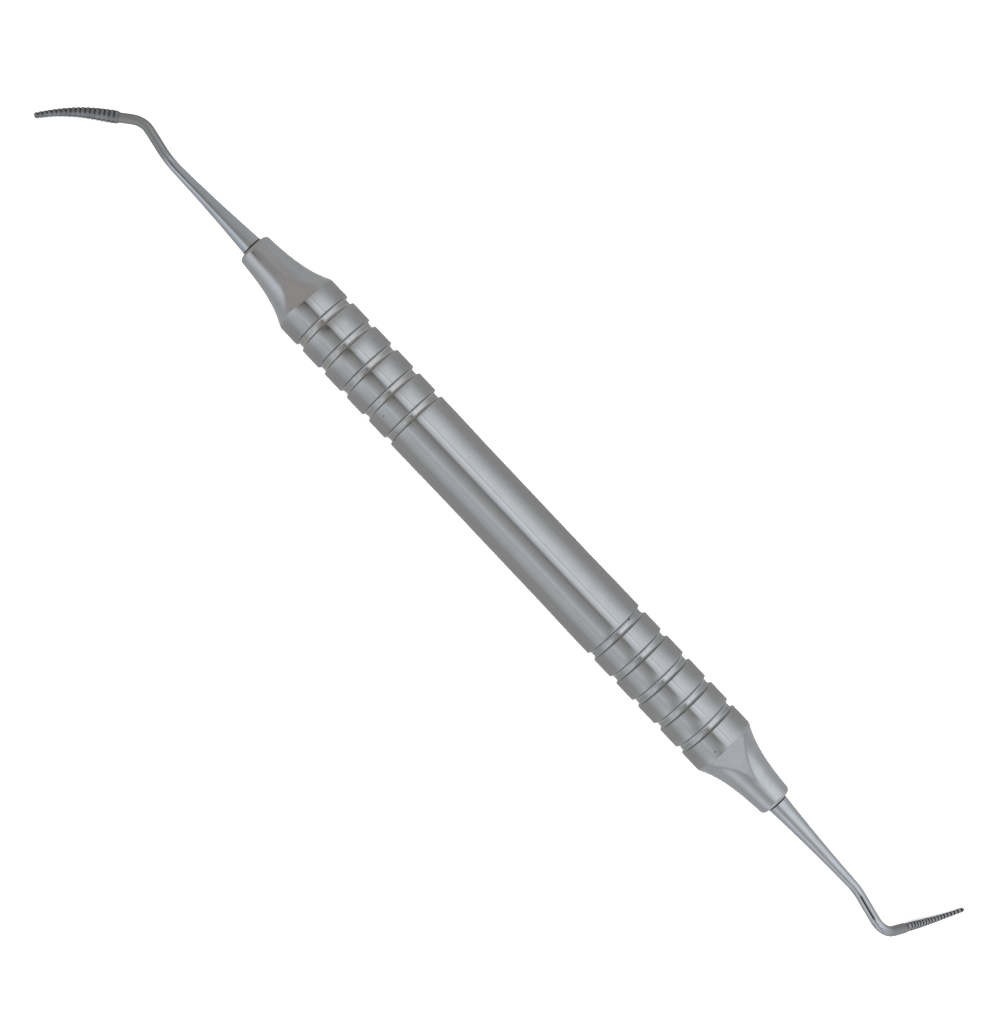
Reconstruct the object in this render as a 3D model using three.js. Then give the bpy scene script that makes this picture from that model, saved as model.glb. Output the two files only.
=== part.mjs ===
// Double-ended periodontal file of the hand scaler family.
//
// A hollow steel handle lies along X, with its middle above the origin and the plane it rests on at Z = 0.
// The handle is three pieces: a plain tube and two grooved ends that end in a flared nose. A forged working
// end is pressed into each nose: a tapered shank, two bends and a curved oval blade with cross-cut ridges.
// Millimetres, +Z up.

import * as THREE from 'three';
import { mergeVertices } from 'three/addons/utils/BufferGeometryUtils.js';

// ---------------------------------------------------------------- handle

const HANDLE_RADIUS = 5;
const HANDLE_SIDES = 36;
const JOINT_X = 20.85; // where the tube meets a grip end, inside the innermost groove
const JOINT_GAP = 0.05;
const TUBE_WALL = 0.8;
const GRIP_WALL = 1.4;
const GRIP_BORE_END_X = 39.5; // end of the wide bore, counted from the middle of the handle
const SPIGOT_LENGTH = 8;
const SPIGOT_CLEARANCE = 0.05;

const GROOVE_COUNT = 5;
const FIRST_GROOVE_X = 21.15;
const GROOVE_PITCH = 4.585;
const GROOVE_HALF_WIDTH = 0.66;
const GROOVE_DEPTH = 0.46;
const GROOVE_STEPS = 4;

const GRIP_END_X = 43.5; // where the cylinder stops and the nose starts
const NOSE_END_X = 54.4;
const NOSE_SMALL_RADIUS = 2.38; // radius that the flare tends to
const NOSE_FLARE_LENGTH = 4.6; // distance in which the flare shrinks to 1/e
const NOSE_STEPS = 9;
const NOSE_ROUNDING = 0.6;
const NOSE_ROUNDING_STEPS = 3;

// ---------------------------------------------------------------- working ends

const TANG_LENGTH = 12;
const TANG_RADIUS = 1.6;
const TANG_CHAMFER = 0.3;
const TANG_CLEARANCE = 0.1;
const NECK_RADIUS = 0.75; // the shank's thin part
const SHANK_TAPER_LENGTH = 17.5;
const SHANK_TAPER_POWER = 1.6;
const ROD_SIDES = 12;
const ROD_STEP = 1.6; // longest distance between two sections of the rod
const TURN_STEP = THREE.MathUtils.degToRad(11); // largest turn between two sections

const TOOTH_COUNT = 17;
const TOOTH_PITCH = 0.69;
const TOOTH_DEPTH = 0.22; // share of the blade's half thickness
const BLADE_STUB = 0.8; // smooth stub past the last ridge
const BLADE_HALF_THICKNESS = [1.01, 0.475]; // at the first ridge and at the tip
const BLADE_HALF_WIDTH = [0.64, 0.32];
const BLADE_START_LENGTH = 0.35; // from the round neck to the first ridge
const TIP_ROUNDING = 0.35;
const TIP_ANGLES = [0, 40, 72]; // sections of the rounded end, in degrees

// Each route is a chain of moves along the rod's centre line. A bend turns the heading by `turn` degrees
// towards the direction that stands at `towards` degrees around the handle, from +Y through +Z.
const LEFT_END = {
  side: -1,
  route: [
    { straight: TANG_LENGTH },
    { turn: 0.8, radius: 40, towards: 203 },
    { straight: 14.8 },
    { turn: 12.2, radius: 19, towards: 23 },
    { straight: 3 },
    { turn: 49.4, radius: 3.5, towards: 203 },
    { straight: 4.9 },
    { turn: 20.6, radius: 26.7, towards: 223 },
  ],
};
const RIGHT_END = {
  side: 1,
  route: [
    { straight: TANG_LENGTH },
    { turn: 0.7, radius: 40, towards: 203 },
    { straight: 15.4 },
    { turn: 19.4, radius: 7, towards: 153.5 },
    { straight: 3.76 },
    { turn: 82.1, radius: 2.5, towards: -26.5 },
    { straight: 5.6 },
    { turn: 20.6, radius: 26.7, towards: 64 },
  ],
};

// ---------------------------------------------------------------- materials

const tubeSteel = new THREE.MeshStandardMaterial({ color: 0xa3a6a8, roughness: 0.34, metalness: 1 });
const gripSteel = new THREE.MeshStandardMaterial({ color: 0x9fa2a4, roughness: 0.32, metalness: 1 });
const tipSteel = new THREE.MeshStandardMaterial({ color: 0x909498, roughness: 0.3, metalness: 1 });

// ---------------------------------------------------------------- turned pieces

// A turned piece from a closed profile of [x, radius] points, listed clockwise with x to the right.
// The polygon of each section lies outside the true circle and has one side facing straight down.
function turned(profile) {
  const corner = 1 / Math.cos(Math.PI / HANDLE_SIDES);
  const points = profile.map(([x, radius]) => new THREE.Vector2(radius * corner, x));
  points.push(points[0].clone());
  const geometry = new THREE.LatheGeometry(points, HANDLE_SIDES, Math.PI / HANDLE_SIDES);
  geometry.rotateZ(-Math.PI / 2);
  return geometry;
}

// Depth of a groove's round floor at a distance from the groove's middle.
function grooveDepth(offset) {
  const radius = (GROOVE_HALF_WIDTH ** 2 + GROOVE_DEPTH ** 2) / (2 * GROOVE_DEPTH);
  return GROOVE_DEPTH - radius + Math.sqrt(radius ** 2 - offset ** 2);
}

// Points of one groove, from its inner edge to its outer edge.
function groove(middle) {
  const points = [];
  for (let step = 0; step <= GROOVE_STEPS; step += 1) {
    const offset = GROOVE_HALF_WIDTH * (2 * step / GROOVE_STEPS - 1);
    points.push([middle + offset, HANDLE_RADIUS - grooveDepth(offset)]);
  }
  return points;
}

function noseRadius(x) {
  const flare = Math.exp(-(x - GRIP_END_X) / NOSE_FLARE_LENGTH);
  return NOSE_SMALL_RADIUS + (HANDLE_RADIUS - NOSE_SMALL_RADIUS) * flare;
}

// Points of the flared nose and of the rounding into its end face.
function nose() {
  const points = [];
  const flareEnd = NOSE_END_X - NOSE_ROUNDING;
  for (let step = 0; step <= NOSE_STEPS; step += 1) {
    const x = GRIP_END_X + (flareEnd - GRIP_END_X) * (step / NOSE_STEPS) ** 1.3;
    points.push([x, noseRadius(x)]);
  }
  const centreRadius = noseRadius(flareEnd) - NOSE_ROUNDING;
  for (let step = 1; step <= NOSE_ROUNDING_STEPS; step += 1) {
    const angle = (Math.PI / 2) * (step / NOSE_ROUNDING_STEPS);
    const x = flareEnd + NOSE_ROUNDING * Math.sin(angle);
    points.push([x, centreRadius + NOSE_ROUNDING * Math.cos(angle)]);
  }
  return points;
}

// The plain tube. Each end face stands on the inner wall of the innermost groove.
function middleTube() {
  const bore = HANDLE_RADIUS - TUBE_WALL;
  const grooveEdge = FIRST_GROOVE_X - GROOVE_HALF_WIDTH;
  const endRadius = HANDLE_RADIUS - grooveDepth(FIRST_GROOVE_X - JOINT_X);
  return turned([
    [-JOINT_X, bore],
    [-JOINT_X, endRadius],
    [-grooveEdge, HANDLE_RADIUS],
    [grooveEdge, HANDLE_RADIUS],
    [JOINT_X, endRadius],
    [JOINT_X, bore],
  ]);
}

// One end of the handle, built towards +X: a spigot, a shoulder, five grooves, the nose and a stepped bore.
function gripEnd() {
  const shoulderX = JOINT_X + JOINT_GAP;
  const spigotRadius = HANDLE_RADIUS - TUBE_WALL - SPIGOT_CLEARANCE;
  const wideBore = HANDLE_RADIUS - GRIP_WALL;
  const tangBore = TANG_RADIUS + TANG_CLEARANCE;
  const coneLength = wideBore - tangBore;
  const outside = [[shoulderX, HANDLE_RADIUS - grooveDepth(FIRST_GROOVE_X - shoulderX)]];
  for (let index = 0; index < GROOVE_COUNT; index += 1) {
    const points = groove(FIRST_GROOVE_X + index * GROOVE_PITCH);
    outside.push(...points.filter(([x]) => x > shoulderX));
  }
  outside.push(...nose());
  return turned([
    [shoulderX - SPIGOT_LENGTH, wideBore],
    [shoulderX - SPIGOT_LENGTH, spigotRadius],
    [shoulderX, spigotRadius],
    ...outside,
    [NOSE_END_X, tangBore],
    [GRIP_BORE_END_X, tangBore],
    [GRIP_BORE_END_X - coneLength, wideBore],
  ]);
}

// ---------------------------------------------------------------- bent rods

// The centre line of a working end: straight stretches and round bends, one after the other.
class BentRoute {
  constructor(start, heading, moves) {
    this.stretches = [];
    let point = start.clone();
    let ahead = heading.clone();
    let distance = 0;
    for (const move of moves) {
      const around = THREE.MathUtils.degToRad(move.towards ?? 0);
      const side = new THREE.Vector3(0, Math.cos(around), Math.sin(around));
      side.addScaledVector(ahead, -side.dot(ahead)).normalize();
      const turn = THREE.MathUtils.degToRad(move.turn ?? 0);
      const length = move.straight ?? move.radius * turn;
      const stretch = { point, ahead, side, turn, length, radius: move.radius, from: distance };
      this.stretches.push(stretch);
      const end = this.along(stretch, length);
      point = end.point;
      ahead = end.ahead;
      distance += length;
    }
    this.length = distance;
  }

  along(stretch, distance) {
    const { point, ahead, side, turn, radius } = stretch;
    if (turn === 0) {
      return { point: point.clone().addScaledVector(ahead, distance), ahead: ahead.clone() };
    }
    const angle = distance / radius;
    const reached = point.clone();
    reached.addScaledVector(ahead, radius * Math.sin(angle));
    reached.addScaledVector(side, radius * (1 - Math.cos(angle)));
    const heading = ahead.clone().multiplyScalar(Math.cos(angle));
    heading.addScaledVector(side, Math.sin(angle));
    return { point: reached, ahead: heading };
  }

  at(distance) {
    const stretch = this.stretches.findLast(({ from }) => from <= distance);
    return this.along(stretch, distance - stretch.from);
  }

  // The normal of the plane in which the last bend lies.
  lastPlaneNormal() {
    const last = this.stretches[this.stretches.length - 1];
    return new THREE.Vector3().crossVectors(last.ahead, last.side);
  }
}

// The shank's radius at a distance past the nose's end face.
function shankRadius(distance) {
  const left = Math.max(0, 1 - distance / SHANK_TAPER_LENGTH);
  return NECK_RADIUS + (TANG_RADIUS - NECK_RADIUS) * left ** SHANK_TAPER_POWER;
}

// Round sections of a rod, from the end of its tang to where the blade starts to widen.
function shankSections(route, neckEnd) {
  const distances = [TANG_CHAMFER, TANG_LENGTH];
  for (const { from, length, turn } of route.stretches) {
    const steps = from < TANG_LENGTH ? 0 : Math.ceil(Math.max(length / ROD_STEP, turn / TURN_STEP));
    for (let step = 1; step <= steps; step += 1) {
      distances.push(from + (length * step) / steps);
    }
  }
  const kept = distances.filter((distance) => distance < neckEnd - BLADE_START_LENGTH);
  const chamfered = TANG_RADIUS - TANG_CHAMFER;
  const sections = [{ distance: 0, width: chamfered, thickness: chamfered }];
  for (const distance of [...kept, neckEnd]) {
    const radius = shankRadius(Math.max(0, distance - TANG_LENGTH));
    sections.push({ distance, width: radius, thickness: radius });
  }
  return sections;
}

// Oval sections of a blade: the root and the crest of each ridge, then the stub and its rounded end.
function bladeSections(bladeFrom, bladeEnd) {
  const sections = [];
  const root = 1 - TOOTH_DEPTH;
  const add = (distance, widthShare, thicknessShare) => {
    const ease = THREE.MathUtils.smoothstep(distance, bladeFrom, bladeEnd);
    const width = THREE.MathUtils.lerp(...BLADE_HALF_WIDTH, ease) * widthShare;
    const thickness = THREE.MathUtils.lerp(...BLADE_HALF_THICKNESS, ease) * thicknessShare;
    sections.push({ distance, width, thickness });
  };
  for (let tooth = 0; tooth < TOOTH_COUNT; tooth += 1) {
    add(bladeFrom + tooth * TOOTH_PITCH, 1, root);
    add(bladeFrom + (tooth + 0.5) * TOOTH_PITCH, 1, 1);
  }
  add(bladeFrom + TOOTH_COUNT * TOOTH_PITCH, 1, root);
  for (const angle of TIP_ANGLES) {
    const share = Math.cos(THREE.MathUtils.degToRad(angle));
    const back = TIP_ROUNDING * (1 - Math.sin(THREE.MathUtils.degToRad(angle)));
    add(bladeEnd - back, share, root * share);
  }
  return sections;
}

// A closed rod along a route: the rings of a plain cylinder are moved to the sections, one ring to each.
function rod(route, sections) {
  const geometry = new THREE.CylinderGeometry(1, 1, 1, ROD_SIDES, sections.length - 1);
  const corner = 1 / Math.cos(Math.PI / ROD_SIDES);
  const normal = route.lastPlaneNormal();
  const position = geometry.attributes.position;
  const vertex = new THREE.Vector3();
  for (let index = 0; index < position.count; index += 1) {
    vertex.fromBufferAttribute(position, index);
    const section = sections[Math.round((0.5 - vertex.y) * (sections.length - 1))];
    const { point, ahead } = route.at(section.distance);
    const across = normal.clone().addScaledVector(ahead, -normal.dot(ahead)).normalize();
    const outward = new THREE.Vector3().crossVectors(ahead, across);
    point.addScaledVector(across, vertex.x * section.width * corner);
    point.addScaledVector(outward, vertex.z * section.thickness * corner);
    position.setXYZ(index, point.x, point.y, point.z);
  }
  geometry.deleteAttribute('normal');
  geometry.deleteAttribute('uv');
  const closed = mergeVertices(geometry);
  closed.computeVertexNormals();
  return closed;
}

function workingEnd({ side, route: moves }) {
  const start = new THREE.Vector3(side * (NOSE_END_X - TANG_LENGTH), 0, 0);
  const route = new BentRoute(start, new THREE.Vector3(side, 0, 0), moves);
  const bladeFrom = route.length - TOOTH_COUNT * TOOTH_PITCH - BLADE_STUB;
  return rod(route, [
    ...shankSections(route, bladeFrom - BLADE_START_LENGTH),
    ...bladeSections(bladeFrom, route.length),
  ]);
}

// ---------------------------------------------------------------- assembly

function piece(name, geometry, material) {
  const mesh = new THREE.Mesh(geometry, material);
  mesh.name = name;
  return mesh;
}

const handScaler = new THREE.Group();
handScaler.position.z = HANDLE_RADIUS;
handScaler.add(piece('middle_tube', middleTube(), tubeSteel));
handScaler.add(piece('grip_end_right', gripEnd(), gripSteel));
const gripEndLeft = piece('grip_end_left', gripEnd(), gripSteel.clone());
gripEndLeft.rotation.z = Math.PI;
handScaler.add(gripEndLeft);
handScaler.add(piece('working_end_left', workingEnd(LEFT_END), tipSteel));
handScaler.add(piece('working_end_right', workingEnd(RIGHT_END), tipSteel.clone()));

export default handScaler;
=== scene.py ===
"""Looks of a double-ended periodontal file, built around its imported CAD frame.

Each of the five CAD nodes is replaced by a fine mesh of the same piece. The turned handle pieces are
closed shells of revolution, and the working ends are closed lofts along the bent route of their rod. Sizes
are in millimetres and become metres when a mesh is made. The handle lies along X, and Z points up from the
surface that it lies on.
"""

import math

import bpy
from mathutils import Matrix, Vector


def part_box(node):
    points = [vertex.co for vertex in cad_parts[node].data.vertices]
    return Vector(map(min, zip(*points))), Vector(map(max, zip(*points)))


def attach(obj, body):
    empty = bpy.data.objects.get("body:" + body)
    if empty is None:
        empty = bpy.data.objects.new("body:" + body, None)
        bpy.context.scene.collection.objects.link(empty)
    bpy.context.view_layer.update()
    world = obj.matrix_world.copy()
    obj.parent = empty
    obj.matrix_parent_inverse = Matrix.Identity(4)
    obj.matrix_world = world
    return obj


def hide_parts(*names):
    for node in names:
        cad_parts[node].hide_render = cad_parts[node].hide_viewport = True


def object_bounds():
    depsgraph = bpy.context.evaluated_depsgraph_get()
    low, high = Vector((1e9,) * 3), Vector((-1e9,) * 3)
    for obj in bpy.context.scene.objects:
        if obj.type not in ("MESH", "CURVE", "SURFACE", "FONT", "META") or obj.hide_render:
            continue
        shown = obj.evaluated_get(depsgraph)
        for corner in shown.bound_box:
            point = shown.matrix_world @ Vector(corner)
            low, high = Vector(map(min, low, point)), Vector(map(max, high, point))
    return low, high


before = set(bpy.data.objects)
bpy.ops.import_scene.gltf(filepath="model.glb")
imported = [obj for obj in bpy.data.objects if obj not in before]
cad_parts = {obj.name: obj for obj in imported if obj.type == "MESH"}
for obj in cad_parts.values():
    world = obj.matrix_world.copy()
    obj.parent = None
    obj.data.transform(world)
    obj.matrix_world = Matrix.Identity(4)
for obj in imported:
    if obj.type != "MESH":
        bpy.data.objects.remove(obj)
cad_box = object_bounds()

MM = 0.001

# ---------------------------------------------------------------- sizes taken from the frame


def node_box(name):
    """The lowest and highest corner of a CAD node, in millimetres."""
    low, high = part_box(name)
    return low / MM, high / MM


TUBE_LOW, TUBE_HIGH = node_box("middle_tube")
GRIP_LOW, GRIP_HIGH = node_box("grip_end_right")
ROD_LOW, ROD_HIGH = node_box("working_end_right")

HANDLE_RADIUS = (TUBE_HIGH.z - TUBE_LOW.z) / 2
AXIS_HEIGHT = (TUBE_HIGH.z + TUBE_LOW.z) / 2
JOINT_X = TUBE_HIGH.x
SPIGOT_X = GRIP_LOW.x
NOSE_END_X = GRIP_HIGH.x
TANG_START_X = ROD_LOW.x

# ---------------------------------------------------------------- sizes of the handle

ROUND_STEPS = 160  # faces around the handle
PLAIN_STEPS = 40  # faces along the plain tube
SHARP_ANGLE = math.radians(40)  # edges between faces that turn further than this stay sharp
JOINT_GAP = 0.02
TUBE_WALL = 0.8
GRIP_WALL = 1.4
GRIP_BORE_END_X = 39.5
SPIGOT_CLEARANCE = 0.05
WAIST_DEPTH = 0.065  # how much slimmer the plain tube is in the middle
WAIST_START_X = 18.5
WAIST_FULL_X = 9

GROOVE_COUNT = 5
FIRST_GROOVE_X = 21.15
GROOVE_PITCH = 4.585
GROOVE_HALF_WIDTH = 0.66
GROOVE_DEPTH = 0.46
GROOVE_FLATNESS = 5.0  # power of the floor's curve: the higher, the flatter the floor
GROOVE_WALL_OFFSET = 0.47  # distance from a groove's middle at which its steep walls start
GROOVE_STEPS = 28

GRIP_END_X = 43.5
NOSE_SMALL_RADIUS = 2.38  # radius that the flare tends to
NOSE_FLARE_LENGTH = 4.6  # distance in which the flare shrinks to 1/e
NOSE_STEPS = 40
NOSE_EDGE_ROUNDING = 0.3
NOSE_ROUNDING = 0.6
NOSE_ROUNDING_STEPS = 8
EDGE_ROUNDING = 0.05
EDGE_ANGLE = math.radians(18)  # corners of a profile that turn further than this are rounded
CORNER_SHARES = (0, 0.25, 0.5, 0.75, 1)  # points of a rounded corner

# ---------------------------------------------------------------- sizes of the working ends

TANG_LENGTH = NOSE_END_X - TANG_START_X
TANG_RADIUS = 1.6
TANG_CHAMFER = 0.3
TANG_CLEARANCE = 0.1
BORE_CHAMFER = 0.13
SEAM_WIDTH = 0.27  # ring of the shank right at the nose, near-black: partly a dark joint, partly painted shadow of the gap
NECK_RADIUS = 0.75  # the shank's thin part
SHANK_TAPER_LENGTH = 17.5
SHANK_TAPER_POWER = 1.6
ROD_SIDES = 48
ROD_STEP = 0.35  # distance between two rings of the smooth rod

TOOTH_COUNT = 17
TOOTH_PITCH = 0.69
TOOTH_STEPS = 14  # rings on each ridge
TOOTH_DEPTH = 0.19
BLADE_STUB = 0.8  # plain stretch past the last ridge
BLADE_HALF_THICKNESS = (1.01, 0.475)  # at the first ridge and at the tip
BLADE_HALF_WIDTH = (0.64, 0.32)
BLADE_START_LENGTH = 0.15  # from the round neck to the first ridge
BLADE_START_STEPS = 4
FIRST_NOTCH = 0.5  # depth of the notch before the first ridge, as a share of the others
BLADE_START_DROP = 0.12  # how much lower the first ridge starts
TIP_ROUNDING = 0.4  # length of the rounded tip
TIP_STEPS = 8
TIP_GAP = 0.12  # how far the fine tip stops short of the CAD tip

# A route is a chain of moves along the rod's centre line. A bend turns the heading by `turn` degrees
# towards the direction that stands at `towards` degrees around the handle, from +Y through +Z.
# Between two distances from the end of the tang, the polish turns matt and darker; the darker colour there
# is painted shade.
# The ridges run out between the two shares of `tooth_edge` of the way from the blade's narrow side to its
# face, and `roll` turns the ridged faces around the blade, in degrees.
LEFT_END = {
    "side": -1,
    "matt_and_shade": (28.2, 30.7),
    "tooth_edge": (0.05, 0.55),
    "roll": -14,
    "route": [
        {"straight": TANG_LENGTH},
        {"turn": 0.8, "radius": 40, "towards": 203},
        {"straight": 14.8},
        {"turn": 12.2, "radius": 19, "towards": 23},
        {"straight": 3},
        {"turn": 49.4, "radius": 3.5, "towards": 203},
        {"straight": 4.9},
        {"turn": 20.6, "radius": 26.7, "towards": 223},
    ],
}
RIGHT_END = {
    "side": 1,
    "matt_and_shade": (35, 37.5),
    "tooth_edge": (0.0, 0.2),
    "roll": 0,
    "route": [
        {"straight": TANG_LENGTH},
        {"turn": 0.7, "radius": 40, "towards": 203},
        {"straight": 15.4},
        {"turn": 19.4, "radius": 7, "towards": 153.5},
        {"straight": 3.76},
        {"turn": 82.1, "radius": 2.5, "towards": -26.5},
        {"straight": 5.6},
        {"turn": 20.6, "radius": 26.7, "towards": 64},
    ],
}

# ---------------------------------------------------------------- the camera's side of the handle

CAMERA_ROLL = math.radians(23)  # the camera looks down on the handle from this far off the vertical
TO_CAMERA = Vector((0, -math.sin(CAMERA_ROLL), math.cos(CAMERA_ROLL)))
ACROSS_VIEW = Vector((0, math.cos(CAMERA_ROLL), math.sin(CAMERA_ROLL)))


def smooth_step(low, high, value):
    """0 at `low`, 1 at `high`, and eased in between."""
    share = min(1.0, max(0.0, (value - low) / (high - low)))
    return share * share * (3 - 2 * share)


def blend(start, end, share):
    return start + (end - start) * share


# ---------------------------------------------------------------- meshes


def rings_mesh(name, rings, closed_loop, attributes=None):
    """A closed mesh from rings of points in millimetres. The rings join up, or both ends get a cap.

    `attributes` maps the name of an attribute for the materials to its number at each point of each ring.
    """
    size = len(rings[0])
    count = len(rings)
    points = [point * MM for ring in rings for point in ring]
    faces = []
    for row in range(count if closed_loop else count - 1):
        here = row * size
        there = ((row + 1) % count) * size
        for column in range(size):
            beside = (column + 1) % size
            faces.append((here + column, here + beside, there + beside, there + column))
    if not closed_loop:
        faces.append(tuple(reversed(range(size))))
        faces.append(tuple(range((count - 1) * size, count * size)))
    mesh = bpy.data.meshes.new(name)
    mesh.from_pydata(points, [], faces)
    for label, values in (attributes or {}).items():
        attribute = mesh.attributes.new(label, "FLOAT", "POINT")
        attribute.data.foreach_set("value", [value for ring in values for value in ring])
    mesh.polygons.foreach_set("use_smooth", [True] * len(faces))
    mesh.set_sharp_from_angle(angle=SHARP_ANGLE)
    piece = bpy.data.objects.new(name, mesh)
    bpy.context.scene.collection.objects.link(piece)
    return piece


def softened(profile, radius):
    """The same chain of [x, radius] points with each corner sharper than EDGE_ANGLE rounded off."""
    chain = [Vector(point) for point in profile]
    result = [chain[0]]
    for before, corner, after in zip(chain, chain[1:], chain[2:]):
        back = before - corner
        on = after - corner
        if math.pi - back.angle(on) < EDGE_ANGLE:
            result.append(corner)
            continue
        cut = min(radius, 0.45 * back.length, 0.45 * on.length)
        start = corner + back.normalized() * cut
        end = corner + on.normalized() * cut
        for share in CORNER_SHARES:
            result.append(start.lerp(corner, share).lerp(corner.lerp(end, share), share))
    result.append(chain[-1])
    return result


def turned(name, outside, inside, side):
    """A closed shell of revolution from its outside and inside profiles, mirrored to -X if side is -1."""
    profile = [(point[0], point[1]) for point in [*softened(outside, EDGE_ROUNDING), *inside]]
    rings = []
    for x, radius in profile:
        ring = []
        for step in range(ROUND_STEPS):
            angle = 2 * math.pi * step / ROUND_STEPS
            y = radius * math.cos(angle) * side
            ring.append(Vector((x * side, y, AXIS_HEIGHT + radius * math.sin(angle))))
        rings.append(ring)
    return rings_mesh(name, rings, closed_loop=True)


# ---------------------------------------------------------------- handle


def groove_depth(offset):
    """Depth of a groove at a distance from its middle: a flat floor that curves up into the walls."""
    return GROOVE_DEPTH * (1 - abs(offset / GROOVE_HALF_WIDTH) ** GROOVE_FLATNESS)


def groove(middle):
    """Points of one groove, from its inner edge to its outer edge."""
    points = []
    for step in range(GROOVE_STEPS + 1):
        offset = GROOVE_HALF_WIDTH * (2 * step / GROOVE_STEPS - 1)
        points.append((middle + offset, HANDLE_RADIUS - groove_depth(offset)))
    return points


def nose_radius(x):
    """The nose's radius at a distance from the middle of the handle."""
    flare = math.exp(-(x - GRIP_END_X) / NOSE_FLARE_LENGTH)
    return NOSE_SMALL_RADIUS + (HANDLE_RADIUS - NOSE_SMALL_RADIUS) * flare


def nose():
    """Points of the flared nose and of the rounding into its end face."""
    flare_start = GRIP_END_X + NOSE_EDGE_ROUNDING
    flare_end = NOSE_END_X - NOSE_ROUNDING
    edge_start = Vector((GRIP_END_X - NOSE_EDGE_ROUNDING, HANDLE_RADIUS))
    edge = Vector((GRIP_END_X, HANDLE_RADIUS))
    edge_end = Vector((flare_start, nose_radius(flare_start)))
    points = []
    for share in CORNER_SHARES[:-1]:
        points.append(edge_start.lerp(edge, share).lerp(edge.lerp(edge_end, share), share))
    for step in range(NOSE_STEPS + 1):
        x = blend(flare_start, flare_end, step / NOSE_STEPS)
        points.append((x, nose_radius(x)))
    centre_radius = nose_radius(flare_end) - NOSE_ROUNDING
    for step in range(1, NOSE_ROUNDING_STEPS + 1):
        angle = math.pi / 2 * step / NOSE_ROUNDING_STEPS
        x = flare_end + NOSE_ROUNDING * math.sin(angle)
        points.append((x, centre_radius + NOSE_ROUNDING * math.cos(angle)))
    return points


def middle_tube():
    """The plain tube, which ends on the inner walls of the two innermost grooves."""
    bore = HANDLE_RADIUS - TUBE_WALL
    groove_edge = FIRST_GROOVE_X - GROOVE_HALF_WIDTH
    wall = [point for point in groove(FIRST_GROOVE_X) if point[0] < JOINT_X - EDGE_ROUNDING]
    end_radius = HANDLE_RADIUS - groove_depth(FIRST_GROOVE_X - JOINT_X)
    half = [(JOINT_X, end_radius), *reversed(wall[1:]), (groove_edge, HANDLE_RADIUS)]
    outside = [(-x, radius) for x, radius in half]
    for step in range(1, PLAIN_STEPS):
        x = blend(-groove_edge, groove_edge, step / PLAIN_STEPS)
        waist = WAIST_DEPTH * smooth_step(WAIST_START_X, WAIST_FULL_X, abs(x))
        outside.append((x, HANDLE_RADIUS - waist))
    outside.extend(reversed(half))
    inside = [(JOINT_X, bore), (-JOINT_X, bore)]
    return turned("middle_tube_fine", outside, inside, 1)


def grip_end(name, side):
    """One end of the handle: spigot, grooves, flared nose and the stepped bore inside."""
    shoulder_x = JOINT_X + JOINT_GAP
    spigot_radius = HANDLE_RADIUS - TUBE_WALL - SPIGOT_CLEARANCE
    wide_bore = HANDLE_RADIUS - GRIP_WALL
    tang_bore = TANG_RADIUS + TANG_CLEARANCE
    outside = [
        (SPIGOT_X, spigot_radius),
        (shoulder_x, spigot_radius),
        (shoulder_x, HANDLE_RADIUS - groove_depth(FIRST_GROOVE_X - shoulder_x)),
    ]
    for index in range(GROOVE_COUNT):
        points = groove(FIRST_GROOVE_X + index * GROOVE_PITCH)
        outside.extend(point for point in points if point[0] > shoulder_x)
    outside.extend(nose())
    inside = [
        (NOSE_END_X, tang_bore + BORE_CHAMFER),
        (NOSE_END_X - BORE_CHAMFER, tang_bore),
        (GRIP_BORE_END_X, tang_bore),
        (GRIP_BORE_END_X - (wide_bore - tang_bore), wide_bore),
        (SPIGOT_X, wide_bore),
    ]
    return turned(name, outside, inside, side)


# ---------------------------------------------------------------- working ends


class BentRoute:
    """The centre line of a working end: straight stretches and round bends, one after the other."""

    def __init__(self, start, heading, moves):
        self.stretches = []
        self.length = 0
        point = start
        ahead = heading
        for move in moves:
            around = math.radians(move.get("towards", 0))
            side = Vector((0, math.cos(around), math.sin(around)))
            side = (side - side.dot(ahead) * ahead).normalized()
            turn = math.radians(move.get("turn", 0))
            length = move["radius"] * turn if turn else move["straight"]
            stretch = (self.length, point, ahead, side, move.get("radius"))
            self.stretches.append(stretch)
            point, ahead = self.along(stretch, length)
            self.length += length

    @staticmethod
    def along(stretch, distance):
        _, point, ahead, side, radius = stretch
        if radius is None:
            return point + ahead * distance, ahead
        angle = distance / radius
        reached = point + ahead * radius * math.sin(angle) + side * radius * (1 - math.cos(angle))
        return reached, ahead * math.cos(angle) + side * math.sin(angle)

    def at(self, distance):
        """The point and the heading at a distance along the route."""
        stretch = [each for each in self.stretches if each[0] <= distance][-1]
        return self.along(stretch, distance - stretch[0])

    def last_plane_normal(self):
        """The normal of the plane in which the last bend lies."""
        _, _, ahead, side, _ = self.stretches[-1]
        return ahead.cross(side)


def shank_radius(distance):
    """The shank's radius at a distance past the nose's end face."""
    left = max(0, 1 - max(0, distance) / SHANK_TAPER_LENGTH)
    return NECK_RADIUS + (TANG_RADIUS - NECK_RADIUS) * left**SHANK_TAPER_POWER


def ridge_valley(distance):
    """0 on the crest of a ridge and 1 in the notch between two, for a distance along the toothed stretch."""
    place = 2 * (distance / TOOTH_PITCH % 1) - 1
    return 1 - math.sqrt(max(0, 1 - place**2))


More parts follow.
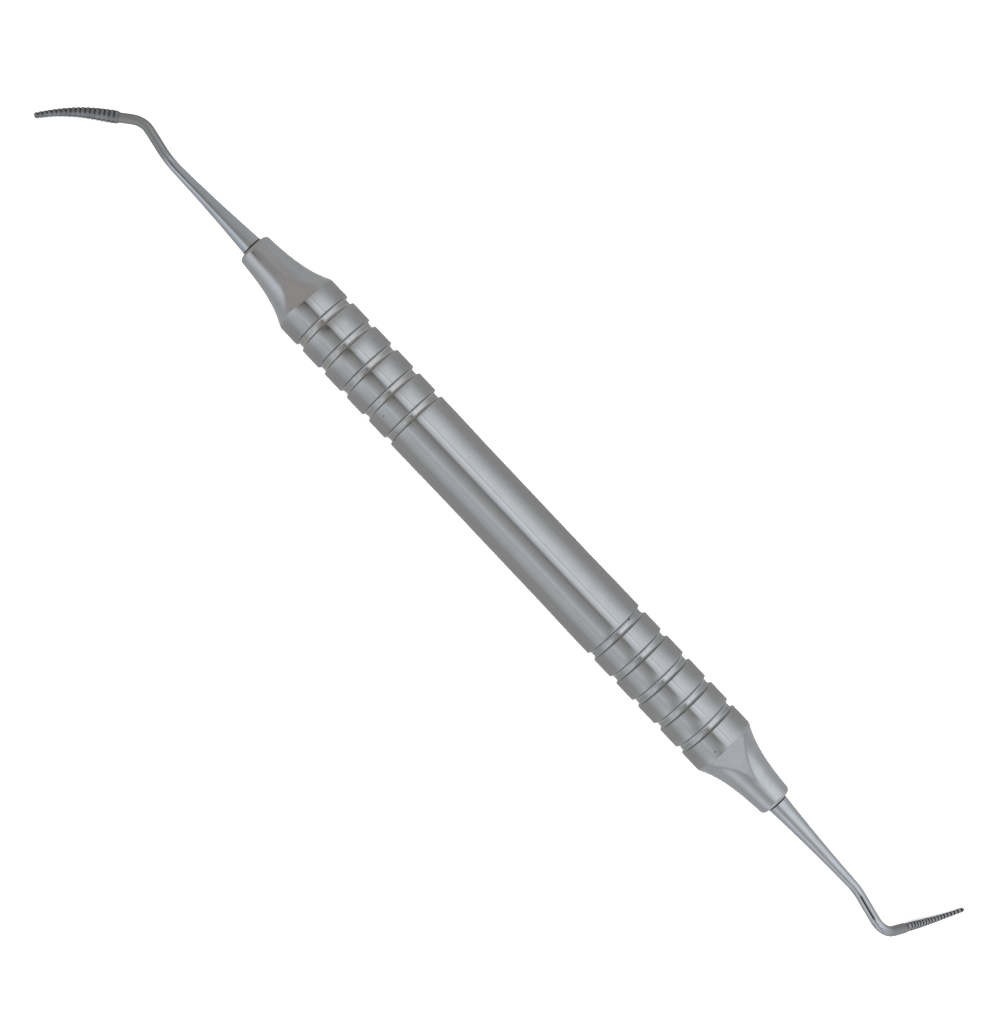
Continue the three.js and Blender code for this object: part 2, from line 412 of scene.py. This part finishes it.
def blade_section(blade_from, blade_end, tooth_end, distance):
    """Half width, half thickness and depth of the notch at a distance along the route."""
    ease = smooth_step(blade_from, blade_end, distance)
    width = blend(*BLADE_HALF_WIDTH, ease)
    thickness = blend(*BLADE_HALF_THICKNESS, ease)
    thickness -= BLADE_START_DROP * smooth_step(blade_from + TOOTH_PITCH, blade_from, distance)
    if distance < blade_from:
        start = smooth_step(blade_from - BLADE_START_LENGTH, blade_from, distance)
        width = blend(NECK_RADIUS, width, start)
        thickness = blend(NECK_RADIUS, thickness - TOOTH_DEPTH, start)
        return width, thickness, 0
    if distance > tooth_end:
        left = blade_end - TIP_GAP - distance
        share = max(0, 1 - left / TIP_ROUNDING)
        rounding = math.sqrt(1 - share**2)
        return width * rounding, thickness * rounding, 0
    first = smooth_step(0, TOOTH_PITCH / 2, distance - blade_from)
    return width, thickness, ridge_valley(distance - blade_from) * blend(FIRST_NOTCH, 1, first)


def rod_distances(route, blade_from, tooth_end):
    """Where the rod's rings stand along its route, closer together on the blade."""
    seam = TANG_LENGTH + SEAM_WIDTH
    distances = [0, TANG_CHAMFER, TANG_LENGTH, seam]
    smooth_end = blade_from - BLADE_START_LENGTH
    steps = round((smooth_end - seam) / ROD_STEP)
    distances += [blend(seam, smooth_end, step / steps) for step in range(1, steps + 1)]
    for step in range(1, BLADE_START_STEPS):
        distances.append(smooth_end + BLADE_START_LENGTH * step / BLADE_START_STEPS)
    ring_step = TOOTH_PITCH / TOOTH_STEPS
    rings = round((tooth_end - blade_from) / ring_step)
    distances += [blade_from + ring_step * step for step in range(rings + 1)]
    distances.append(blend(tooth_end, route.length - TIP_ROUNDING, 0.5))
    for step in range(TIP_STEPS):
        angle = math.pi / 2 * step / TIP_STEPS
        distances.append(route.length - TIP_GAP - TIP_ROUNDING * (1 - math.sin(angle)))
    return distances


def working_end(name, end):
    """A rod from its hidden tang to its tip: material 0 is polished, 1 is the blade's and 2 the tang's, a
    near-black painted shade that also makes the ring at the nose.
    """
    side = end["side"]
    start = Vector((side * TANG_START_X, 0, AXIS_HEIGHT))
    route = BentRoute(start, Vector((side, 0, 0)), end["route"])
    tooth_end = route.length - BLADE_STUB
    blade_from = tooth_end - TOOTH_COUNT * TOOTH_PITCH
    normal = route.last_plane_normal()
    roll = math.radians(end["roll"])
    distances = rod_distances(route, blade_from, tooth_end)
    rings = []
    valleys = []
    matt_and_shade = []
    for distance in distances:
        point, ahead = route.at(distance)
        across = (normal - normal.dot(ahead) * ahead).normalized()
        outward = ahead.cross(across)
        valley = 0
        if distance == 0:
            width = thickness = TANG_RADIUS - TANG_CHAMFER
        elif distance <= blade_from - BLADE_START_LENGTH:
            width = thickness = shank_radius(distance - TANG_LENGTH)
        else:
            width, thickness, valley = blade_section(blade_from, route.length, tooth_end, distance)
        ring = []
        ring_valleys = []
        for step in range(ROD_SIDES):
            angle = 2 * math.pi * step / ROD_SIDES
            cut = valley * smooth_step(*end["tooth_edge"], abs(math.sin(angle - roll)))
            high = thickness - TOOTH_DEPTH * cut
            ring.append(point + across * width * math.cos(angle) + outward * high * math.sin(angle))
            ring_valleys.append(cut)
        rings.append(ring)
        valleys.append(ring_valleys)
        matt_and_shade.append([smooth_step(*end["matt_and_shade"], distance)] * ROD_SIDES)
    piece = rings_mesh(name, rings, closed_loop=False, attributes={"valley": valleys, "matt_and_shade": matt_and_shade})
    seam = TANG_LENGTH + SEAM_WIDTH
    tang_faces = ROD_SIDES * sum(1 for distance in distances[1:] if distance <= seam)
    blade_faces = ROD_SIDES * sum(1 for distance in distances if distance < blade_from)
    for face in piece.data.polygons:
        if face.index < tang_faces:
            face.material_index = 2
        elif face.index >= blade_faces:
            face.material_index = 1
    return piece


# ---------------------------------------------------------------- materials


def add_node(tree, kind, inputs=None, **settings):
    """A new shader node. An input is a number, a colour, a vector or another node's output."""
    made = tree.nodes.new(kind)
    for key, value in settings.items():
        setattr(made, key, value)
    for key, value in (inputs or {}).items():
        if isinstance(value, bpy.types.NodeSocket):
            tree.links.new(value, made.inputs[key])
        else:
            made.inputs[key].default_value = value
    return made


def arithmetic(tree, operation, first, second=0.0):
    """The result of one operation of the Math node."""
    return add_node(tree, "ShaderNodeMath", {0: first, 1: second}, operation=operation).outputs[0]


def eased(tree, value, low, high, result_low=0.0, result_high=1.0):
    """`value` mapped smoothly from low..high to result_low..result_high."""
    inputs = {"Value": value, "From Min": low, "From Max": high, "To Min": result_low, "To Max": result_high}
    return add_node(tree, "ShaderNodeMapRange", inputs, interpolation_type="SMOOTHSTEP").outputs["Result"]


def mixed(tree, share, first, second, blend_type="MIX"):
    """Two colours mixed: only the first at a share of 0, and the second in full at 1."""
    made = add_node(tree, "ShaderNodeMix", data_type="RGBA", blend_type=blend_type)
    for socket, value in ((made.inputs["Factor"], share), (made.inputs[6], first), (made.inputs[7], second)):
        if isinstance(value, bpy.types.NodeSocket):
            tree.links.new(value, socket)
        else:
            socket.default_value = value
    return made.outputs[2]


def grain(tree, place, length, width, detail=2.0):
    """Noise with cells `length` millimetres long along the handle and `width` millimetres wide across it."""
    scale = (1 / (length * MM), 1 / (width * MM), 1 / (width * MM))
    stretched = add_node(tree, "ShaderNodeVectorMath", {0: place, 1: scale}, operation="MULTIPLY").outputs[0]
    noise = add_node(tree, "ShaderNodeTexNoise", {"Vector": stretched, "Scale": 1.0, "Detail": detail})
    return noise.outputs["Fac"]


# Small pores and nicks: distance along the handle, degrees from the camera's side towards +Y, depth below
# the lands, and radius.
MARKS = [
    (-20.52, -56, 0.08, 0.27),
    (20.75, 34, 0.3, 0.25),
    (42.6, -17, 0.04, 0.15),
    (-23.9, -36, 0.04, 0.15),
]


def marks(tree, place):
    """1 on the small pores and nicks of the handle, and 0 elsewhere."""
    total = 0.0
    for x, around, depth, size in MARKS:
        angle = math.radians(around)
        out = TO_CAMERA * math.cos(angle) + ACROSS_VIEW * math.sin(angle)
        centre = Vector((x, 0, AXIS_HEIGHT)) + out * (HANDLE_RADIUS - depth)
        apart = add_node(tree, "ShaderNodeVectorMath", {0: place, 1: centre * MM}, operation="DISTANCE")
        spot = eased(tree, apart.outputs["Value"], size * 0.5 * MM, size * MM, 1.0, 0.0)
        total = arithmetic(tree, "ADD", total, spot)
    return total


MICRON = 1e-6
PORE_COLOUR = (0.03, 0.03, 0.032, 1)
PORE_STRENGTH = 0.85
SPECK_STRENGTH = 0.3
SPECK_SPAN = (0.77, 0.84)  # noise above this is a speck
SHADE_SPAN = (0.32, 0.68)  # noise between dark and light steel
ROUGHNESS_SPAN = (0.25, 0.75)
ROUGHER = 1.2
SMOOTHER = 0.85
ALONG_THE_HANDLE = 0.25  # rotation of the stretched reflections, in turns


def steel(name, light, dark, roughness, streaks, rings, stretch=0.0):
    """Bare steel with fine lines along the handle (streaks) and around it (rings), in micrometres.

    `stretch` is how far reflections spread across the lines along the handle, from 0 to 1.
    """
    material = bpy.data.materials.new(name)
    material.use_nodes = True
    tree = material.node_tree
    shader = tree.nodes["Principled BSDF"]
    place = add_node(tree, "ShaderNodeTexCoord").outputs["Object"]
    streak = grain(tree, place, length=14, width=0.16, detail=3.0)
    ring = grain(tree, place, length=0.11, width=5, detail=2.0)
    cloud = grain(tree, place, length=2.2, width=1.6, detail=3.0)
    speck = eased(tree, grain(tree, place, length=0.16, width=0.16, detail=0.0), *SPECK_SPAN)
    half_streak = arithmetic(tree, "MULTIPLY", streak, 0.5)
    shade = arithmetic(tree, "ADD", half_streak, arithmetic(tree, "MULTIPLY", cloud, 0.5))
    colour = mixed(tree, eased(tree, shade, *SHADE_SPAN), (*dark, 1), (*light, 1))
    spots = arithmetic(tree, "ADD", arithmetic(tree, "MULTIPLY", speck, SPECK_STRENGTH), marks(tree, place))
    colour = mixed(tree, arithmetic(tree, "MINIMUM", spots, PORE_STRENGTH), colour, PORE_COLOUR)
    tree.links.new(colour, shader.inputs["Base Color"])
    uneven = eased(tree, shade, *ROUGHNESS_SPAN, roughness * ROUGHER, roughness * SMOOTHER)
    tree.links.new(uneven, shader.inputs["Roughness"])
    shader.inputs["Metallic"].default_value = 1.0
    shader.inputs["Anisotropic"].default_value = stretch
    if stretch:
        shader.inputs["Anisotropic Rotation"].default_value = ALONG_THE_HANDLE
        around = add_node(tree, "ShaderNodeTangent", direction_type="RADIAL", axis="X")
        tree.links.new(around.outputs[0], shader.inputs["Tangent"])
    streak_height = arithmetic(tree, "MULTIPLY", streak, streaks)
    height = arithmetic(tree, "ADD", streak_height, arithmetic(tree, "MULTIPLY", ring, rings))
    bump = add_node(tree, "ShaderNodeBump", {"Height": height, "Strength": 1.0, "Distance": MICRON})
    tree.links.new(bump.outputs[0], shader.inputs["Normal"])
    return material


def use(piece, *materials):
    """Adds the materials to the piece, in the order of their index."""
    for material in materials:
        piece.data.materials.append(material)


def paint(piece, index, wanted):
    """Gives material `index` to the faces whose centre, in millimetres, is wanted."""
    for face in piece.data.polygons:
        if wanted(face.center / MM):
            face.material_index = index


BORE_MOUTH_RADIUS = TANG_RADIUS + 1.5 * BORE_CHAMFER
SPIGOT_MIDDLE_RADIUS = 4  # between the spigot's wide bore and its outside


def in_groove(centre):
    """True on the floor and walls of the finger grooves."""
    away = math.hypot(centre.y, centre.z - AXIS_HEIGHT)
    first_edge = FIRST_GROOVE_X - GROOVE_HALF_WIDTH
    return first_edge < abs(centre.x) < GRIP_END_X and away < HANDLE_RADIUS - EDGE_ROUNDING


def on_groove_wall(centre):
    """True on the steep sides of the grooves, which get a rougher finish and a darker colour of painted
    shade.
    """
    past = (abs(centre.x) - FIRST_GROOVE_X) % GROOVE_PITCH
    return in_groove(centre) and min(past, GROOVE_PITCH - past) > GROOVE_WALL_OFFSET


def on_nose(centre):
    """True on the flared noses, and in the bores through them."""
    return abs(centre.x) > GRIP_END_X


def in_bore(centre):
    """True inside a grip end, where near-black painted shade stands in for the dark bore."""
    away = math.hypot(centre.y, centre.z - AXIS_HEIGHT)
    return away < (BORE_MOUTH_RADIUS if on_nose(centre) else SPIGOT_MIDDLE_RADIUS)


TINT_CHANGE_X = 22  # the two painted light tints blend between -X and +X of this
VALLEY_SPAN = (0.04, 0.4)  # depths of a notch between plain steel and full painted shade


def paint_light_tint_along(material, left_tint, right_tint):
    """Paints a light tint into the steel: one colour towards -X and another towards +X."""
    tree = material.node_tree
    shader = tree.nodes["Principled BSDF"]
    colour = shader.inputs["Base Color"].links[0].from_socket
    place = add_node(tree, "ShaderNodeTexCoord").outputs["Object"]
    x = add_node(tree, "ShaderNodeSeparateXYZ", {0: place}).outputs["X"]
    share = eased(tree, x, -TINT_CHANGE_X * MM, TINT_CHANGE_X * MM)
    tint = mixed(tree, share, (*left_tint, 1), (*right_tint, 1))
    tree.links.new(mixed(tree, 1.0, colour, tint, "MULTIPLY"), shader.inputs["Base Color"])


def paint_valley_shade(material, dark):
    """Paints shade into the notches between a blade's ridges, and leaves their crests bright."""
    tree = material.node_tree
    shader = tree.nodes["Principled BSDF"]
    colour = shader.inputs["Base Color"].links[0].from_socket
    valley = add_node(tree, "ShaderNodeAttribute", attribute_name="valley").outputs["Fac"]
    # Painted shade: the colour of the notches.
    colour = mixed(tree, eased(tree, valley, *VALLEY_SPAN), colour, (dark, dark, dark * 1.1, 1))
    tree.links.new(colour, shader.inputs["Base Color"])


def matt_and_painted_shade(material, colour, roughness):
    """Turns the steel matt where the mesh's matt attribute says so, and darker there as painted shade."""
    tree = material.node_tree
    shader = tree.nodes["Principled BSDF"]
    share = add_node(tree, "ShaderNodeAttribute", attribute_name="matt_and_shade").outputs["Fac"]
    polished_colour = shader.inputs["Base Color"].links[0].from_socket
    polished_roughness = shader.inputs["Roughness"].links[0].from_socket
    tree.links.new(mixed(tree, share, polished_colour, (*colour, 1)), shader.inputs["Base Color"])
    tree.links.new(eased(tree, share, 0.0, 1.0, polished_roughness, roughness), shader.inputs["Roughness"])


satin = steel(
    "satin_steel", (0.57, 0.573, 0.575), (0.53, 0.533, 0.53),
    roughness=0.11, streaks=0.12, rings=0.06, stretch=0.93,
)
turned_floor = steel(
    "turned_groove_steel", (0.64,) * 3, (0.58,) * 3, roughness=0.13, streaks=0.05, rings=0.1, stretch=0.6
)
# Groove walls: rougher turned steel, whose darker colour is painted shade.
groove_wall_painted_shade = steel(
    "groove_wall_steel_painted_shade", (0.5,) * 3, (0.38,) * 3, roughness=0.36, streaks=0.1, rings=0.3, stretch=1.0
)
# Painted light tints: the groove steel is warmer towards -X and cooler towards +X.
for material in (turned_floor, groove_wall_painted_shade):
    paint_light_tint_along(material, (1.0, 0.985, 0.965), (0.965, 0.985, 1.0))
nose_steel = steel(
    "nose_steel", (0.63, 0.635, 0.65), (0.57, 0.575, 0.585), roughness=0.13, streaks=0.3, rings=0.05
)
polished = steel(
    "polished_steel", (0.64, 0.65, 0.67), (0.58, 0.59, 0.605), roughness=0.08, streaks=0.25, rings=0.04
)
# Painted light tint: the polished steel is bluish towards -X.
paint_light_tint_along(polished, (0.97, 1.0, 1.03), (1.0, 1.0, 1.0))
# Painted shade: the darker colour of the matt zone past the bends.
matt_and_painted_shade(polished, (0.385, 0.385, 0.385), roughness=0.42)
# The two blades are one ground steel. The darker left copy is painted shade, and the lighter right copy is
# painted light. The left notches get a lighter painted shade than the right ones.
ground_left_painted_shade = steel(
    "ground_blade_steel_painted_shade", (0.38, 0.385, 0.395), (0.25, 0.255, 0.26), roughness=0.3, streaks=0.5, rings=0.5
)
paint_valley_shade(ground_left_painted_shade, 0.09)
ground_right_painted_light = steel(
    "ground_blade_steel_painted_light", (0.5, 0.505, 0.515), (0.4, 0.405, 0.41), roughness=0.3, streaks=0.5, rings=0.5
)
paint_valley_shade(ground_right_painted_light, 0.03)
# Near-black painted shade inside the bores and on the hidden tangs. On the ring at the nose it is partly a
# dark joint and partly painted shadow of the gap.
bore_and_seam_painted_shade = steel("bore_steel_painted_shade", (0.05,) * 3, (0.03,) * 3, roughness=0.5, streaks=0.2, rings=0.2)

# ---------------------------------------------------------------- pieces


def place_piece(piece, node):
    """Fixes the piece to the one rigid body, in place of its CAD node."""
    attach(piece, "root")
    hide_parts(node)


tube = middle_tube()
use(tube, satin, turned_floor, groove_wall_painted_shade)
for index, wanted in ((1, in_groove), (2, on_groove_wall)):
    paint(tube, index, wanted)
place_piece(tube, "middle_tube")

for side, label in ((-1, "left"), (1, "right")):
    grip = grip_end(f"grip_end_{label}_fine", side)
    use(grip, satin, turned_floor, groove_wall_painted_shade, nose_steel, bore_and_seam_painted_shade)
    for index, wanted in ((1, in_groove), (2, on_groove_wall), (3, on_nose), (4, in_bore)):
        paint(grip, index, wanted)
    place_piece(grip, f"grip_end_{label}")

for end, label, ground in ((LEFT_END, "left", ground_left_painted_shade), (RIGHT_END, "right", ground_right_painted_light)):
    rod = working_end(f"working_end_{label}_fine", end)
    use(rod, polished, ground, bore_and_seam_painted_shade)
    place_piece(rod, f"working_end_{label}")

# ---------------------------------------------------------------- floor

FLOOR_HALF = 6.0  # metres
FLOOR_DROP = 0.00002  # metres below the lowest point


def flat_sheet(name, corners, colour, roughness):
    """A dull four-cornered sheet of one colour. The corners are in metres."""
    mesh = bpy.data.meshes.new(name)
    mesh.from_pydata(corners, [], [(0, 1, 2, 3)])
    sheet = bpy.data.objects.new(name, mesh)
    bpy.context.scene.collection.objects.link(sheet)
    material = bpy.data.materials.new(name)
    material.use_nodes = True
    shader = material.node_tree.nodes["Principled BSDF"]
    shader.inputs["Base Color"].default_value = (*colour, 1)
    shader.inputs["Roughness"].default_value = roughness
    shader.inputs["Specular IOR Level"].default_value = 0.0
    mesh.materials.append(material)
    return sheet


CORNER_SIGNS = ((-1, -1), (1, -1), (1, 1), (-1, 1))
floor_corners = [(x * FLOOR_HALF, y * FLOOR_HALF, 0) for x, y in CORNER_SIGNS]
floor = flat_sheet("floor", floor_corners, (0.9, 0.9, 0.9), roughness=0.9)
floor.location.z = cad_box[0].z - FLOOR_DROP
floor.visible_glossy = False

# ---------------------------------------------------------------- light tent

# Brightness of the tent's wall by the angle around the handle, in degrees from the camera's side towards +Y.
# The middle of the tent lights the handle's cylinder, and its left and right parts the noses and shanks.
TENT_MIDDLE = [
    (-180, 0.33), (-110, 0.39), (-92, 0.4), (-78, 0.53), (-58, 0.64), (-50, 0.6), (-39, 0.73), (-33, 0.61),
    (-20, 0.46), (-12, 0.4), (-6, 0.34), (-2, 0.28), (1, 0.3), (5, 0.55), (9, 0.8), (16, 0.92), (20, 1.08),
    (24, 0.96), (26, 0.62), (28, 0.93), (34, 0.95), (47, 0.87), (62, 0.7), (78, 0.53), (92, 0.41),
    (120, 0.37), (180, 0.33),
]
TENT_LEFT = [
    (-180, 0.45), (-106, 0.45), (-89, 0.53), (-74, 0.66), (-60, 0.73), (-47, 0.76), (-37, 0.55),
    (-28, 0.41), (-20, 0.36), (-6, 0.34), (2, 0.36), (11, 0.38), (23, 0.42), (60, 0.42), (80, 0.46),
    (110, 0.44), (180, 0.45),
]
TENT_RIGHT = [
    (-180, 0.47), (-95, 0.48), (-78, 0.66), (-63, 0.75), (-50, 0.62), (-37, 0.48), (-24, 0.41),
    (-12, 0.52), (0, 0.74), (12, 0.86), (24, 0.9), (50, 0.84), (63, 0.75), (78, 0.61), (95, 0.51),
    (115, 0.48), (180, 0.47),
]
WARM_LEFT = (-30, 25)  # angles between which the left wall is warmer

# Where one part of the tent blends into the next, by the X of the mirrored direction.
LEFT_FROM = (-0.13, -0.18)
RIGHT_FROM = (0.14, 0.2)
LEFT_TO_RIGHT = (-0.1, 0.1)
END_SLANT = 0.35  # how much the ends' edge gives way towards the sides
END_FROM = (0.39, 0.46)
SEAM_FROM = (0.37, 0.42)
SEAM_TO = (0.48, 0.43)

BRIGHT_TINT = (0.955, 1.0, 1.05)
DARK_TINT = (1.0, 1.0, 0.985)
WARM_TINT = (1.03, 0.99, 0.965)
BRIGHT_FROM = (0.35, 0.6)  # brightnesses between which the dark tint gives way to the bright one
END_LEFT = (0.415, 0.396, 0.382, 1)
END_RIGHT = (0.63, 0.65, 0.675, 1)
SEAM = (0.4, 0.41, 0.43, 1)


def tent_wall(tree, angle, stops, warm=(0, 0)):
    """The tent's wall as a colour ramp over the angle around the handle, warmer between two angles."""
    full_turn = {"Value": angle, "From Min": -math.pi, "From Max": math.pi}
    share = add_node(tree, "ShaderNodeMapRange", full_turn).outputs[0]
    ramp = add_node(tree, "ShaderNodeValToRGB", {"Fac": share})
    elements = ramp.color_ramp.elements
    while len(elements) < len(stops):
        elements.new(0.5)
    for element, (degrees, brightness) in zip(elements, stops):
        tint = Vector(DARK_TINT).lerp(Vector(BRIGHT_TINT), smooth_step(*BRIGHT_FROM, brightness))
        if warm[0] < degrees < warm[1]:
            tint = Vector(WARM_TINT)
        element.position = (degrees + 180) / 360
        element.color = (*(brightness * tint), 1)
    return ramp.outputs["Color"]


world = bpy.data.worlds.new("light_tent")
bpy.context.scene.world = world
world.use_nodes = True
sky = world.node_tree
direction = add_node(sky, "ShaderNodeTexCoord").outputs["Generated"]


def share_towards(axis):
    """The cosine between the mirrored direction and an axis."""
    product = add_node(sky, "ShaderNodeVectorMath", {0: direction, 1: axis}, operation="DOT_PRODUCT")
    return product.outputs["Value"]


up_share = share_towards(TO_CAMERA)
side_share = share_towards(ACROSS_VIEW)
along_share = add_node(sky, "ShaderNodeSeparateXYZ", {0: direction}).outputs["X"]
angle = arithmetic(sky, "ARCTAN2", side_share, up_share)
middle_wall = tent_wall(sky, angle, TENT_MIDDLE)
left_wall = tent_wall(sky, angle, TENT_LEFT, warm=WARM_LEFT)
right_wall = tent_wall(sky, angle, TENT_RIGHT)
wall = mixed(sky, eased(sky, along_share, *LEFT_FROM), middle_wall, left_wall)
wall = mixed(sky, eased(sky, along_share, *RIGHT_FROM), wall, right_wall)

# The tent's two ends are flat and of one colour, with a darker seam around the right one.
right_share = eased(sky, along_share, *LEFT_TO_RIGHT)
end_colour = mixed(sky, right_share, END_LEFT, END_RIGHT)
sideways = arithmetic(sky, "MULTIPLY", arithmetic(sky, "ABSOLUTE", side_share), END_SLANT)
towards_end = arithmetic(sky, "SUBTRACT", arithmetic(sky, "ABSOLUTE", along_share), sideways)
light = mixed(sky, eased(sky, towards_end, *END_FROM), wall, end_colour)
seam_start = eased(sky, towards_end, *SEAM_FROM)
seam_share = arithmetic(sky, "MULTIPLY", seam_start, eased(sky, towards_end, *SEAM_TO))
light = mixed(sky, arithmetic(sky, "MULTIPLY", seam_share, right_share), light, SEAM)
background = sky.nodes["Background"]
sky.links.new(light, background.inputs["Color"])

# The lamp at the camera lights the floor only, and its shadow falls behind the object.
LAMP_STRENGTH = 6.5
LAMP_SPREAD = math.radians(40)

lamp = bpy.data.lights.new("floor_lamp", "SUN")
lamp.energy = LAMP_STRENGTH
lamp.angle = LAMP_SPREAD
lamp_object = bpy.data.objects.new("floor_lamp", lamp)
lamp_object.rotation_euler = TO_CAMERA.to_track_quat("Z", "Y").to_euler()
lamp_object.visible_glossy = False
bpy.context.scene.collection.objects.link(lamp_object)

# A dark card high above the object, which is seen only where polished steel mirrors it.
CARD_HEIGHT = 900
CARD_X = -206
CARD_HALF_LENGTH = 34
CARD_SIDES = (-480, 60)  # its two edges, across the view
CARD_SLANT = 0.243  # shift along the handle for each millimetre across the view

card_corners = []
for end_sign, side_sign in CORNER_SIGNS:
    beside = CARD_SIDES[0] if side_sign < 0 else CARD_SIDES[1]
    along = CARD_X + end_sign * CARD_HALF_LENGTH + CARD_SLANT * beside
    corner = Vector((along, 0, AXIS_HEIGHT)) + TO_CAMERA * CARD_HEIGHT + ACROSS_VIEW * beside
    card_corners.append(corner * MM)
card = flat_sheet("dark_card", card_corners, (0.005, 0.006, 0.009), roughness=1.0)
card.visible_camera = False
card.visible_diffuse = False
card.visible_shadow = False

bpy.context.scene.view_settings.view_transform = "Standard"

# ---------------------------------------------------------------- camera

CAMERA_DISTANCE = 347.1
CAMERA_TARGET = Vector((-2.876, 0, AXIS_HEIGHT)) - 0.386 * ACROSS_VIEW
CAMERA_LENS = 85.43
CAMERA_CLIP_START = 0.01  # metres
HANDLE_TILT = math.radians(46.65)  # how far the handle slants down to the right in the picture

camera = bpy.data.cameras.new("camera")
camera.lens = CAMERA_LENS
camera.clip_start = CAMERA_CLIP_START
camera_object = bpy.data.objects.new("camera", camera)
picture_right = Vector((1, 0, 0)) * math.cos(HANDLE_TILT) + ACROSS_VIEW * math.sin(HANDLE_TILT)
picture_up = TO_CAMERA.cross(picture_right)
turn = Matrix((picture_right, picture_up, TO_CAMERA)).transposed()
camera_place = (CAMERA_TARGET + TO_CAMERA * CAMERA_DISTANCE) * MM
camera_object.matrix_world = Matrix.Translation(camera_place) @ turn.to_4x4()
bpy.context.scene.collection.objects.link(camera_object)
bpy.context.scene.camera = camera_object
